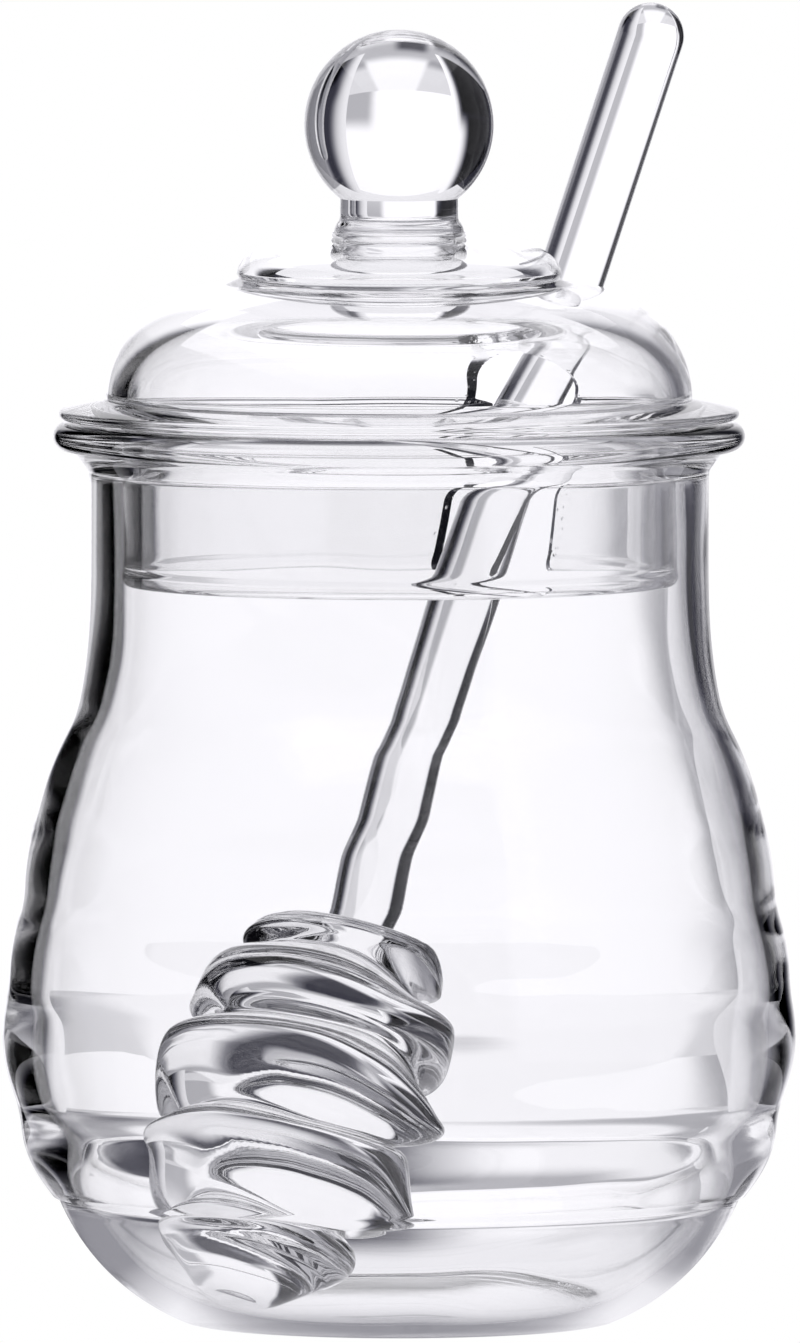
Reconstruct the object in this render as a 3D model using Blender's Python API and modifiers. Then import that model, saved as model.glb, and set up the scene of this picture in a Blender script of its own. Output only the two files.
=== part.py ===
"""Glass honey jar with a stepped glass lid and a ridged glass dipper, empty.

Units are metres and +Z is up. The origin is the centre of the jar's foot, on the table.
The lid rests on the jar's lip, and the dipper leans in the jar and out through a notch in
the lid. All three are loose pieces of clear borosilicate glass.
"""

import math

import bmesh
import bpy
from mathutils import Matrix, Vector

MM = 0.001
GAP = 0.3 * MM
MERGE = 0.00001

# The jar's body: a plain neck over a belly of five soft ribs
FOOT_RADIUS = 22.6 * MM
FLOOR_THICKNESS = 2.0 * MM
WALL = 2.4 * MM
NECK_RADIUS = 33.3 * MM
NECK_WALL = 2.6 * MM
NECK_FOOT = 84.0 * MM
BASE_CURVE_RADIUS = 24.8 * MM
INNER_RIB_SHARE = 0.55
GROOVE_SOFTNESS = 0.8 * MM

# The grooves between the ribs, top to bottom, as (height, outer radius), and how far the
# rib under each groove swells out past the straight line to the next groove
GROOVES = (
    (65.4 * MM, 34.9 * MM),
    (54.6 * MM, 39.0 * MM),
    (45.2 * MM, 40.4 * MM),
    (36.0 * MM, 42.0 * MM),
    (22.9 * MM, 40.7 * MM),
    (12.4 * MM, 36.1 * MM),
)
SWELLS = (0.5 * MM, 0.4 * MM, 0.5 * MM, 1.25 * MM, 1.4 * MM)

# The jar's rolled lip
LIP_RADIUS = 37.15 * MM
LIP_TOP = 96.9 * MM
LIP_BEAD = 1.55 * MM
LIP_UNDERSIDE = 91.4 * MM
LIP_FILLET = (0.3 * MM, 0.6 * MM)
MOUTH_ROUNDING = 1.5 * MM

# The lid: flange, domes, knob and the skirt that plugs the neck
FLANGE_RADIUS = 36.5 * MM
FLANGE_EDGE = 1.1 * MM
DOME_FOOT = (31.5 * MM, 99.2 * MM)
DOME_SHOULDER_RADIUS = 18.5 * MM
DOME_TOP = 111.7 * MM
LID_WALL = 2.3 * MM
STEP_RADIUS = 17.4 * MM
STEP_CREASE = 112.3 * MM
STEP_FOOT = 112.8 * MM
STEP_TOP = 117.2 * MM
STEP_UNDERCUT = 0.3 * MM
ROOF_RADIUS = 5.0 * MM
KNOB_NECK_RADIUS = 6.35 * MM
KNOB_RING_RADIUS = 6.9 * MM
KNOB_RING_HEIGHT = 0.7 * MM
KNOB_RING_SLOPE = 0.8 * MM
BALL_RADIUS = 10.2 * MM
BALL_CENTRE = 128.8 * MM
SKIRT_RADIUS = 29.7 * MM
SKIRT_WALL = 2.1 * MM
SKIRT_BOTTOM = 79.4 * MM
SKIRT_BEAD = 0.35 * MM
SKIRT_FLARE = 2.0 * MM

# The notch in the back of the lid that the dipper's rod comes out of
NOTCH_WIDTH = 13.4 * MM
NOTCH_TOP = 108.6 * MM
NOTCH_AZIMUTH = math.radians(64.0)
NOTCH_LEAN = math.radians(8.0)
NOTCH_PIVOT = 91.0 * MM
NOTCH_REACH = (18.0 * MM, 45.0 * MM)
NOTCH_DEPTH = 30.0 * MM

# The dipper: a round rod fused to an egg-shaped head with one winding ridge
ROD_RADIUS = 3.7 * MM
DIPPER_LENGTH = 154.6 * MM
DIPPER_TIP = Vector((-17.3, -17.8, 4.6)) * MM
DIPPER_AT_MOUTH = Vector((13.9, 22.9, 97.0)) * MM
HEAD_LENGTH = 41.4 * MM
HEAD_RADIUS = 15.9 * MM
HEAD_HALF_LENGTHS = (23.0 * MM, 24.0 * MM)
HEAD_MIDDLE = 22.5 * MM
RIDGE_PITCH = 9.35 * MM
RIDGE_START = 3.5 * MM
RIDGE_LEAN = 1.6 * MM
RIDGE_DEPTH = 4.2 * MM
RIDGE_FLAT = 0.18
RIDGE_BEGIN = (1.0 * MM, 6.0 * MM)
RIDGE_END = 4.0 * MM
SHOULDER_ROUNDING = 1.2 * MM
ROD_FILLET = (0.8 * MM, 1.0 * MM)
TIP_RADIUS = 3.8 * MM
TIP_HEIGHT = 3.4 * MM
TIP_ROUNDING = 0.9 * MM

# How finely the turned shapes are faceted
TURNED_STEPS = 40
DIPPER_STEPS = 32
RIB_PIECES = 4
STEP_PIECES = 6
BALL_PIECES = 12
HEAD_LEVELS = 42


def arc(centre, radius, start, end, pieces):
    """Points (radius, height) of a round stretch, both ends included. Angles are in degrees
    from straight out, anticlockwise."""
    points = []
    for i in range(pieces + 1):
        angle = math.radians(start + (end - start) * i / pieces)
        points.append((centre[0] + radius * math.cos(angle), centre[1] + radius * math.sin(angle)))
    return points


def quarter_oval(foot, top, pieces):
    """Points of a quarter of an oval, up from an upright start at foot to a level end at top."""
    points = []
    for i in range(pieces + 1):
        angle = math.pi / 2 * i / pieces
        reach = top[0] + (foot[0] - top[0]) * math.cos(angle)
        points.append((reach, foot[1] + (top[1] - foot[1]) * math.sin(angle)))
    return points


def heights(high, low, pieces):
    """Evenly spaced heights from high down to low, both included."""
    return [high + (low - high) * i / pieces for i in range(pieces + 1)]


def ribbed_radius(height, share):
    """The jar's outer radius at a height, with the given share of the ribs' swell."""
    first_height, first_radius = GROOVES[0]
    if height >= first_height:
        flare = max(NECK_FOOT - height, 0.0) / (NECK_FOOT - first_height)
        return NECK_RADIUS + (first_radius - NECK_RADIUS) * flare**3
    for above, below, swell in zip(GROOVES, GROOVES[1:], SWELLS):
        if height >= below[0]:
            along = (above[0] - height) / (above[0] - below[0])
            straight = above[1] + (below[1] - above[1]) * along
            return straight + share * swell * math.sin(math.pi * along)
    return GROOVES[-1][1]


def soft_radius(height, share):
    """The ribbed radius with its grooves rounded, as blown glass leaves them."""
    around = [height + step * GROOVE_SOFTNESS for step in (-1, 0, 1)]
    around = [max(level, GROOVES[-1][0]) for level in around]
    return sum(ribbed_radius(level, share) for level in around) / len(around)


def base_curve_centre():
    """The centre of the round stretch from the foot's edge to the lowest groove."""
    foot = Vector((FOOT_RADIUS, 0.0))
    groove = Vector((GROOVES[-1][1], GROOVES[-1][0]))
    half = (groove - foot) / 2
    inward = Vector((-half.y, half.x)).normalized()
    return foot + half + inward * math.sqrt(BASE_CURVE_RADIUS**2 - half.length_squared)


def rib_heights():
    """Heights down the outer wall from the neck's foot to just over the lowest groove."""
    levels = heights(NECK_FOOT, GROOVES[0][0], RIB_PIECES)
    for above, below in zip(GROOVES, GROOVES[1:]):
        levels += heights(above[0], below[0], RIB_PIECES)[1:]
    return levels[:-1]


def jar_outline():
    """The jar's section, from the middle of its floor up inside, over the lip and down."""
    centre = base_curve_centre()
    inner_curve = BASE_CURVE_RADIUS - WALL
    floor_drop = centre.y - FLOOR_THICKNESS
    start = -math.degrees(math.asin(floor_drop / inner_curve))
    lowest = GROOVES[-1][0]
    end = -math.degrees(math.asin((centre.y - lowest) / inner_curve))
    inside = [(0.0, FLOOR_THICKNESS)] + arc(centre, inner_curve, start, end, 5)
    for height in reversed(rib_heights()):
        wall = NECK_WALL if height > GROOVES[0][0] else WALL
        inside.append((soft_radius(height, INNER_RIB_SHARE) - wall, height))
    neck_inside = NECK_RADIUS - NECK_WALL
    mouth = (neck_inside + MOUTH_ROUNDING, LIP_TOP - MOUTH_ROUNDING)
    inside += arc(mouth, MOUTH_ROUNDING, 180, 90, 3)
    bead = (LIP_RADIUS - LIP_BEAD, LIP_TOP - LIP_BEAD)
    lip = arc(bead, LIP_BEAD, 90, -110, 7)
    outside = [(NECK_RADIUS + LIP_FILLET[0], LIP_UNDERSIDE + LIP_FILLET[1]), (NECK_RADIUS, LIP_UNDERSIDE)]
    outside += [(soft_radius(height, 1.0), height) for height in rib_heights()]
    foot_angle = -math.degrees(math.asin(centre.y / BASE_CURVE_RADIUS))
    groove_angle = -math.degrees(math.asin((centre.y - lowest) / BASE_CURVE_RADIUS))
    base = arc(centre, BASE_CURVE_RADIUS, groove_angle, foot_angle, 5)
    return inside + lip + outside + base + [(0.0, 0.0)]


def knob_outline():
    """The knob's section from the top of its ball down to the top of the small dome."""
    neck_angle = -math.degrees(math.acos(KNOB_NECK_RADIUS / BALL_RADIUS))
    ball = arc((0.0, BALL_CENTRE), BALL_RADIUS, 90, neck_angle, BALL_PIECES)
    ball[0] = (0.0, BALL_CENTRE + BALL_RADIUS)
    ring = STEP_TOP + KNOB_RING_HEIGHT
    neck = [
        (KNOB_NECK_RADIUS, ring + KNOB_RING_SLOPE),
        (KNOB_RING_RADIUS, ring),
        (KNOB_RING_RADIUS, STEP_TOP),
    ]
    return ball + neck


def lid_outline():
    """The lid's section, from the knob down its outer side and up inside to the middle."""
    step = quarter_oval((STEP_RADIUS, STEP_FOOT), (KNOB_RING_RADIUS, STEP_TOP), STEP_PIECES)[-2::-1]
    step.append((STEP_RADIUS - STEP_UNDERCUT, STEP_CREASE))
    dome = quarter_oval(DOME_FOOT, (DOME_SHOULDER_RADIUS, DOME_TOP), 8)
    flange_bottom = LIP_TOP + GAP
    edge = FLANGE_EDGE / 2
    rim = arc((FLANGE_RADIUS - edge, flange_bottom + edge), edge, 75, -90, 4)
    flare = SKIRT_BOTTOM + SKIRT_FLARE
    skirt = [(SKIRT_RADIUS, flange_bottom), (SKIRT_RADIUS, flare)]
    bead = (SKIRT_WALL + SKIRT_BEAD) / 2
    bead_centre = (SKIRT_RADIUS - SKIRT_WALL / 2, SKIRT_BOTTOM + bead)
    foot = arc(bead_centre, bead, 0, -180, 4)
    inner_skirt = SKIRT_RADIUS - SKIRT_WALL
    inner_shoulder = (DOME_SHOULDER_RADIUS - LID_WALL, DOME_TOP - LID_WALL)
    inner_dome = quarter_oval((DOME_FOOT[0] - LID_WALL, DOME_FOOT[1]), inner_shoulder, 6)
    ceiling = STEP_TOP - LID_WALL
    roof = quarter_oval((STEP_RADIUS - LID_WALL, STEP_CREASE), (ROOF_RADIUS, ceiling), 4)
    up_inside = [(inner_skirt, flare), (inner_skirt, flange_bottom)] + inner_dome + roof
    return knob_outline() + step + dome[::-1] + rim + skirt + foot + up_inside + [(0.0, ceiling)]


def head_radius(height):
    """The head's crest radius at a height over the tip: an egg cut off at both ends."""
    offset = (height - HEAD_MIDDLE) / HEAD_HALF_LENGTHS[height > HEAD_MIDDLE]
    return HEAD_RADIUS * math.sqrt(max(1 - offset**2, 0.0))


def dipper_outline():
    """The dipper's section without its ridge, from the top of the rod down to the tip."""
    rod_top = DIPPER_LENGTH - ROD_RADIUS
    points = arc((0.0, rod_top), ROD_RADIUS, 90, 0, 5)
    points[0] = (0.0, DIPPER_LENGTH)
    shoulder_reach = head_radius(HEAD_LENGTH - SHOULDER_ROUNDING)
    points += [(ROD_RADIUS, HEAD_LENGTH + ROD_FILLET[1]), (ROD_RADIUS + ROD_FILLET[0], HEAD_LENGTH)]
    shoulder = (shoulder_reach - SHOULDER_ROUNDING, HEAD_LENGTH - SHOULDER_ROUNDING)
    points += arc(shoulder, SHOULDER_ROUNDING, 90, 0, 2)
    for height in heights(HEAD_LENGTH - SHOULDER_ROUNDING, TIP_HEIGHT, HEAD_LEVELS)[1:]:
        points.append((head_radius(height), height))
    slope = (points[-1][0] - TIP_RADIUS) / TIP_HEIGHT
    points += [(TIP_RADIUS + slope * TIP_ROUNDING, TIP_ROUNDING), (TIP_RADIUS - TIP_ROUNDING, 0.0)]
    return points + [(0.0, 0.0)]


def smooth_step(value):
    """Zero to one with level ends."""
    value = min(max(value, 0.0), 1.0)
    return value * value * (3 - 2 * value)


def ridge_groove(angle, height):
    """How deep the winding groove is at an angle round the head and a height over its tip."""
    crest = RIDGE_START + RIDGE_PITCH * angle / math.tau - RIDGE_LEAN * (1 - math.cos(angle))
    turns = (height - crest) / RIDGE_PITCH
    away = abs(turns - round(turns))
    wave = smooth_step((away - RIDGE_FLAT) / (0.5 - RIDGE_FLAT))
    low = smooth_step((height - RIDGE_BEGIN[0]) / (RIDGE_BEGIN[1] - RIDGE_BEGIN[0]))
    high = smooth_step((HEAD_LENGTH - height) / RIDGE_END)
    return RIDGE_DEPTH * wave * low * high


def material(name, colour, roughness):
    """A Principled material in a clear glass's colour."""
    made = bpy.data.materials.new(name)
    made.use_nodes = True
    shader = made.node_tree.nodes["Principled BSDF"]
    shader.inputs["Base Color"].default_value = (*colour, 1.0)
    shader.inputs["Roughness"].default_value = roughness
    shader.inputs["Metallic"].default_value = 0.0
    shader.inputs["IOR"].default_value = 1.47
    shader.inputs["Transmission Weight"].default_value = 1.0
    return made


def collection(name):
    """A new collection in the scene."""
    made = bpy.data.collections.new(name)
    bpy.context.scene.collection.children.link(made)
    return made


def turned(name, outline, steps, folder):
    """An object turned about its own Z from an outline at +X, given top to bottom outside."""
    mesh = bpy.data.meshes.new(name)
    edges = [(i, i + 1) for i in range(len(outline) - 1)]
    mesh.from_pydata([(reach, 0.0, height) for reach, height in outline], edges, [])
    made = bpy.data.objects.new(name, mesh)
    folder.objects.link(made)
    screw = made.modifiers.new("Turn", "SCREW")
    screw.axis = "Z"
    screw.angle = math.tau
    screw.steps = steps
    screw.render_steps = steps
    screw.use_smooth_shade = True
    screw.use_merge_vertices = True
    screw.merge_threshold = MERGE
    return made


def as_mesh(source, name, folder):
    """A plain mesh object of what source evaluates to. The source is removed."""
    bpy.context.view_layer.update()
    graph = bpy.context.evaluated_depsgraph_get()
    mesh = bpy.data.meshes.new_from_object(source.evaluated_get(graph))
    build = bmesh.new()
    build.from_mesh(mesh)
    bmesh.ops.remove_doubles(build, verts=build.verts, dist=MERGE)
    build.to_mesh(mesh)
    build.free()
    made = bpy.data.objects.new(name, mesh)
    made.matrix_world = source.matrix_world
    bpy.data.objects.remove(source)
    made.name = name
    folder.objects.link(made)
    return made


def make_jar(folder, glass):
    """The ribbed jar."""
    made = turned("jar", jar_outline(), TURNED_STEPS, folder)
    made.data.materials.append(glass)
    return made


def notch_cutter(folder):
    """A round-topped slot, upright on its own Y, that cuts radially through the lid's back."""
    half = NOTCH_WIDTH / 2
    round_centre = NOTCH_TOP - half - NOTCH_PIVOT
    outline = arc((0.0, round_centre), half, 0, 180, 10) + [(-half, -NOTCH_DEPTH), (half, -NOTCH_DEPTH)]
    curve = bpy.data.curves.new("notch outline", "CURVE")
    curve.dimensions = "2D"
    curve.fill_mode = "BOTH"
    curve.extrude = (NOTCH_REACH[1] - NOTCH_REACH[0]) / 2
    spline = curve.splines.new("POLY")
    spline.points.add(len(outline) - 1)
    for point, (across, up) in zip(spline.points, outline):
        point.co = (across, up, 0.0, 1.0)
    spline.use_cyclic_u = True
    drawn = bpy.data.objects.new("notch outline", curve)
    folder.objects.link(drawn)
    upright = Matrix.Rotation(math.pi / 2, 4, "X")
    turn = Matrix.Rotation(NOTCH_AZIMUTH + math.pi / 2, 4, "Z")
    middle = (NOTCH_REACH[0] + NOTCH_REACH[1]) / 2
    place = Vector((math.cos(NOTCH_AZIMUTH) * middle, math.sin(NOTCH_AZIMUTH) * middle, NOTCH_PIVOT))
    lean = Matrix.Rotation(NOTCH_LEAN, 4, "Z")
    drawn.matrix_world = Matrix.Translation(place) @ turn @ upright @ lean
    made = as_mesh(drawn, "notch cutter", folder)
    made.hide_render = True
    made.display_type = "WIRE"
    return made


def make_lid(folder, cutters, glass):
    """The stepped lid with its ball knob, cut open at the back for the dipper."""
    made = turned("lid", lid_outline(), TURNED_STEPS, folder)
    made.data.materials.append(glass)
    cut = made.modifiers.new("Notch", "BOOLEAN")
    cut.operation = "DIFFERENCE"
    cut.object = notch_cutter(cutters)
    return made


def make_dipper(folder, glass):
    """The dipper: turned smooth, then its ridge is pressed into the head."""
    made = as_mesh(turned("blank", dipper_outline(), DIPPER_STEPS, folder), "dipper", folder)
    for vertex in made.data.vertices:
        reach = math.hypot(vertex.co.x, vertex.co.y)
        if vertex.co.z < HEAD_LENGTH and reach > ROD_RADIUS:
            angle = math.atan2(vertex.co.y, vertex.co.x) % math.tau
            scale = 1 - ridge_groove(angle, vertex.co.z) / reach
            vertex.co.x *= scale
            vertex.co.y *= scale
    made.data.materials.append(glass)
    made.location = DIPPER_TIP
    made.rotation_mode = "QUATERNION"
    lean = (DIPPER_AT_MOUTH - DIPPER_TIP).normalized()
    face_left = Matrix.Rotation(math.pi, 4, "Z").to_quaternion()
    made.rotation_quaternion = Vector((0.0, 0.0, 1.0)).rotation_difference(lean) @ face_left
    return made


def main():
    """Clears the scene and builds the jar, its lid and its dipper."""
    for old in list(bpy.data.objects):
        bpy.data.objects.remove(old)
    pieces = collection("honey jar")
    cutters = collection("cutters")
    make_jar(pieces, material("jar glass", (0.96, 0.97, 0.98), 0.02))
    make_lid(pieces, cutters, material("lid glass", (0.97, 0.97, 0.98), 0.02))
    make_dipper(pieces, material("dipper glass", (0.95, 0.96, 0.97), 0.02))


main()
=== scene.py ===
"""A clear glass honey jar with a stepped lid and a ridged dipper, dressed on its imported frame."""

import logging
import math
from dataclasses import dataclass
from enum import Enum

import bmesh
import bpy
import numpy as np
from mathutils import Matrix, Vector
from mathutils.bvhtree import BVHTree


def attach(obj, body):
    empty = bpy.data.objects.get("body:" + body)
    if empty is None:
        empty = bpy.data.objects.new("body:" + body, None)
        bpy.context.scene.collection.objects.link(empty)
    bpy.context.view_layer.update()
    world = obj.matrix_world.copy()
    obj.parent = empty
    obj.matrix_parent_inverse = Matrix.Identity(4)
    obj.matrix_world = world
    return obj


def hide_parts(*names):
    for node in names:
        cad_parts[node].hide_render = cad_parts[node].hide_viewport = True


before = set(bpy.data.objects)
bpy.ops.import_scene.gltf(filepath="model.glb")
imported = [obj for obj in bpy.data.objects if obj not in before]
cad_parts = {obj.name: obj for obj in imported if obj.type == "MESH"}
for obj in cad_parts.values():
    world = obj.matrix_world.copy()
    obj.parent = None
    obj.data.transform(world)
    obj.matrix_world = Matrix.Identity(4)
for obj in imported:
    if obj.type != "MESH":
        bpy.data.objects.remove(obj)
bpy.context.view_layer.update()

MM = 0.001
LOG = logging.getLogger("honey jar")

STRAIGHT = 172.0  # degrees: a corner opener than this is left as it is
CORNER_SHARE = 0.45  # how much of a side one softened corner may take
WHITE = (1.0, 1.0, 1.0, 1.0)

Section = list[tuple[float, float]]


class Blowing(Enum):
    """How a piece of glass was worked, and so how lively its surface is."""

    BLOWN = "blown"
    TURNED = "turned"
    DRAWN = "drawn"


def arc(
    centre: tuple[float, float], radius: float, start: float, end: float, pieces: int
) -> Section:
    """Points of a round stretch of a section.

    Args:
        centre: Reach and height of the arc's centre, in millimetres.
        radius: The arc's radius, in millimetres.
        start: Angle of the first point, in degrees from straight out, anticlockwise.
        end: Angle of the last point.
        pieces: How many straight pieces stand for the arc.

    Returns:
        The points, both ends included.
    """
    turns = np.radians(np.linspace(start, end, pieces + 1))
    return [(centre[0] + radius * math.cos(t), centre[1] + radius * math.sin(t)) for t in turns]


def quarter_oval(foot: tuple[float, float], top: tuple[float, float], pieces: int) -> Section:
    """Points of a quarter of an oval, from an upright start to a level end.

    Args:
        foot: Reach and height where the oval stands upright.
        top: Reach and height where it lies level.
        pieces: How many straight pieces stand for it.

    Returns:
        The points, both ends included.
    """
    turns = np.linspace(0.0, math.pi / 2, pieces + 1)
    wide, high = foot[0] - top[0], top[1] - foot[1]
    return [(top[0] + wide * math.cos(t), foot[1] + high * math.sin(t)) for t in turns]


def rounded(section: Section, radius: float, pieces: int = 5) -> Section:
    """A section with its corners softened, as fire polish leaves them.

    Args:
        section: The points to soften. Both ends stay where they are.
        radius: How far before and after a corner the curve starts and ends, in millimetres.
        pieces: How many straight pieces stand for each corner.

    Returns:
        The softened points.
    """
    soft = [section[0]]
    for before, corner, after in zip(section, section[1:], section[2:]):
        a, b, c = Vector(before), Vector(corner), Vector(after)
        into, out = a - b, c - b
        bend = math.degrees(into.angle(out, math.pi))
        if bend > STRAIGHT:
            soft.append(corner)
            continue
        start = b + into.normalized() * min(radius, into.length * CORNER_SHARE)
        end = b + out.normalized() * min(radius, out.length * CORNER_SHARE)
        for t in np.linspace(0.0, 1.0, pieces + 1):
            point = start * (1 - t) ** 2 + b * 2 * t * (1 - t) + end * t**2
            soft.append((point.x, point.y))
    return [*soft, section[-1]]


def placed(name: str, data: bpy.types.ID | None) -> bpy.types.Object:
    """A new object in the scene.

    Args:
        name: Its name.
        data: The mesh or camera that it shows, or None for an empty.

    Returns:
        The object.
    """
    made = bpy.data.objects.new(name, data)
    bpy.context.scene.collection.objects.link(made)
    return made


def glowing(name: str) -> tuple[bpy.types.Material, bpy.types.Node]:
    """A material that only gives light.

    Args:
        name: Its name.

    Returns:
        The material and its emission node, which is white.
    """
    made = bpy.data.materials.new(name)
    made.use_nodes = True
    nodes = made.node_tree.nodes
    nodes.clear()
    glow = nodes.new("ShaderNodeEmission")
    glow.inputs["Color"].default_value = WHITE
    out = nodes.new("ShaderNodeOutputMaterial")
    made.node_tree.links.new(glow.outputs["Emission"], out.inputs["Surface"])
    return made, glow


def turned(name: str, section: Section, steps: int) -> bpy.types.Object:
    """A closed body turned about Z from a section that starts and ends on the axis.

    Args:
        name: The new object's name.
        section: Points in millimetres, from the axis, once round, back to the axis.
        steps: How many points each ring has.

    Returns:
        The object, with faces outward and round shading.
    """
    turns = np.arange(steps) * math.tau / steps
    build = bmesh.new()
    rings = []
    for reach, height in section:
        if reach < 0.001:
            rings.append([build.verts.new((0.0, 0.0, height * MM))])
        else:
            places = [(reach * math.cos(t), reach * math.sin(t), height) for t in turns]
            rings.append([build.verts.new((x * MM, y * MM, z * MM)) for x, y, z in places])
    for upper, lower in zip(rings, rings[1:]):
        for i in range(steps):
            j = (i + 1) % steps
            corners = [upper[i % len(upper)], upper[j % len(upper)]]
            corners += [lower[j % len(lower)], lower[i % len(lower)]]
            build.faces.new(list(dict.fromkeys(corners)))
    bmesh.ops.recalc_face_normals(build, faces=build.faces)
    mesh = bpy.data.meshes.new(name)
    build.to_mesh(mesh)
    build.free()
    mesh.shade_smooth()
    return placed(name, mesh)


def baked(source: bpy.types.Object, name: str) -> bpy.types.Object:
    """A plain mesh piece of what an object evaluates to, at the origin and unturned.

    Args:
        source: The object with its modifiers. It is removed.
        name: The finished piece's name.

    Returns:
        The finished piece.
    """
    bpy.context.view_layer.update()
    graph = bpy.context.evaluated_depsgraph_get()
    mesh = bpy.data.meshes.new_from_object(source.evaluated_get(graph))
    mesh.transform(source.matrix_world)
    bpy.data.objects.remove(source)
    mesh.name = name
    return placed(name, mesh)


class Wiring:
    """Writes nodes and the links between them into a tree."""

    def __init__(self, tree: bpy.types.NodeTree) -> None:
        """Takes the tree to write into."""
        self.tree = tree

    def node(
        self, kind: str, values: dict[str | int, object] | None = None, **settings: object
    ) -> bpy.types.Node:
        """Adds a node.

        Args:
            kind: The node's type.
            values: What its inputs take, by name or place: a socket to link, or a value.
            settings: The node's own options.

        Returns:
            The node.
        """
        made = self.tree.nodes.new(kind)
        for option, choice in settings.items():
            setattr(made, option, choice)
        for place, value in (values or {}).items():
            if isinstance(value, bpy.types.NodeSocket):
                self.tree.links.new(value, made.inputs[place])
            else:
                made.inputs[place].default_value = value
        return made

    def math(self, operation: str, *values: object) -> bpy.types.NodeSocket:
        """The result of one step of arithmetic on sockets or numbers."""
        made = self.node("ShaderNodeMath", dict(enumerate(values)), operation=operation)
        return made.outputs[0]

    def vector(self, operation: str, *values: object) -> bpy.types.NodeSocket:
        """The result of one step of arithmetic on vectors."""
        made = self.node("ShaderNodeVectorMath", dict(enumerate(values)), operation=operation)
        return made.outputs[0]

    def scaled(self, value: object, scale: object) -> bpy.types.NodeSocket:
        """A vector times a number."""
        values = {0: value, "Scale": scale}
        return self.node("ShaderNodeVectorMath", values, operation="SCALE").outputs[0]

    def ramp(self, value: object, start: object, end: object) -> bpy.types.NodeSocket:
        """Zero before a start, one after an end and a smooth rise between them."""
        values = {"Value": value, "From Min": start, "From Max": end}
        return self.node("ShaderNodeMapRange", values, interpolation_type="SMOOTHSTEP").outputs[0]


def effect(
    name: str, sizes: dict[str, float], results: tuple[str, ...]
) -> tuple[Wiring, dict[str, bpy.types.NodeSocket], bpy.types.Node]:
    """A shader node group with named sizes that gives masks or heights.

    Args:
        name: The group's name.
        sizes: Its inputs and their usual values.
        results: The names of what it gives.

    Returns:
        The wiring, the input sockets by name and the node that takes the results.
    """
    tree = bpy.data.node_groups.new(name, "ShaderNodeTree")
    for label, usual in sizes.items():
        size = tree.interface.new_socket(label, in_out="INPUT", socket_type="NodeSocketFloat")
        size.default_value = usual
    for label in results:
        tree.interface.new_socket(label, in_out="OUTPUT", socket_type="NodeSocketFloat")
    wiring = Wiring(tree)
    given = wiring.node("NodeGroupInput")
    return wiring, {label: given.outputs[label] for label in sizes}, wiring.node("NodeGroupOutput")


class GlassEffects:
    """The effects that the glasses share, each built once."""

    def __init__(self) -> None:
        """Builds the groups."""
        self.ripples = self.make_ripples()
        self.haze = self.make_haze()
        self.seeds = self.make_seeds()

    def make_ripples(self) -> bpy.types.NodeTree:
        """Fine ripples of the surface, drawn out along the height by a stretch.

        Returns:
            The group, which gives a height.
        """
        sizes = {"Size": 0.004, "Stretch": 2.0, "Seed": 1.0}
        wiring, size, out = effect("glass ripples", sizes, ("Height",))
        place = wiring.node("ShaderNodeTexCoord").outputs["Object"]
        share = wiring.math("DIVIDE", 1.0, size["Stretch"])
        stretch = wiring.node("ShaderNodeCombineXYZ", {0: 1.0, 1: 1.0, 2: share}).outputs[0]
        place = wiring.vector("MULTIPLY", place, stretch)
        scale = wiring.math("DIVIDE", 1.0, size["Size"])
        place = wiring.vector("ADD", place, size["Seed"])
        values = {"Vector": place, "Scale": scale, "Detail": 0.0}
        waves = wiring.node("ShaderNodeTexNoise", values)
        wiring.tree.links.new(waves.outputs[0], out.inputs["Height"])
        return wiring.tree

    def make_haze(self) -> bpy.types.NodeTree:
        """Soft patches where handling has left the glass a trace less clear.

        Returns:
            The group, which gives a mask.
        """
        sizes = {"Size": 0.02, "Spread": 0.05, "Seed": 1.0}
        wiring, size, out = effect("handling haze", sizes, ("Mask",))
        place = wiring.node("ShaderNodeTexCoord").outputs["Object"]
        scale = wiring.math("DIVIDE", 1.0, size["Size"])
        place = wiring.vector("ADD", place, size["Seed"])
        values = {"Vector": place, "Scale": scale, "Detail": 1.0}
        patches = wiring.node("ShaderNodeTexNoise", values).outputs[0]
        low = wiring.math("SUBTRACT", 0.6, size["Spread"])
        wiring.tree.links.new(wiring.ramp(patches, low, 0.75), out.inputs["Mask"])
        return wiring.tree

    def make_seeds(self) -> bpy.types.NodeTree:
        """Tiny round seeds, the bubbles that the flame leaves in glass.

        Returns:
            The group, which gives a height and a mask.
        """
        wiring, size, out = effect("seeds", {"Size": 0.0012, "Radius": 0.3}, ("Height", "Mask"))
        place = wiring.node("ShaderNodeTexCoord").outputs["Object"]
        scale = wiring.math("DIVIDE", 1.0, size["Size"])
        values = {"Vector": place, "Scale": scale, "Randomness": 0.8}
        cells = wiring.node("ShaderNodeTexVoronoi", values)
        away = wiring.ramp(cells.outputs["Distance"], 0.0, size["Radius"])
        dome = wiring.math("SUBTRACT", 1.0, away)
        wiring.tree.links.new(dome, out.inputs["Height"])
        wiring.tree.links.new(wiring.ramp(dome, 0.2, 0.6), out.inputs["Mask"])
        return wiring.tree


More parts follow.
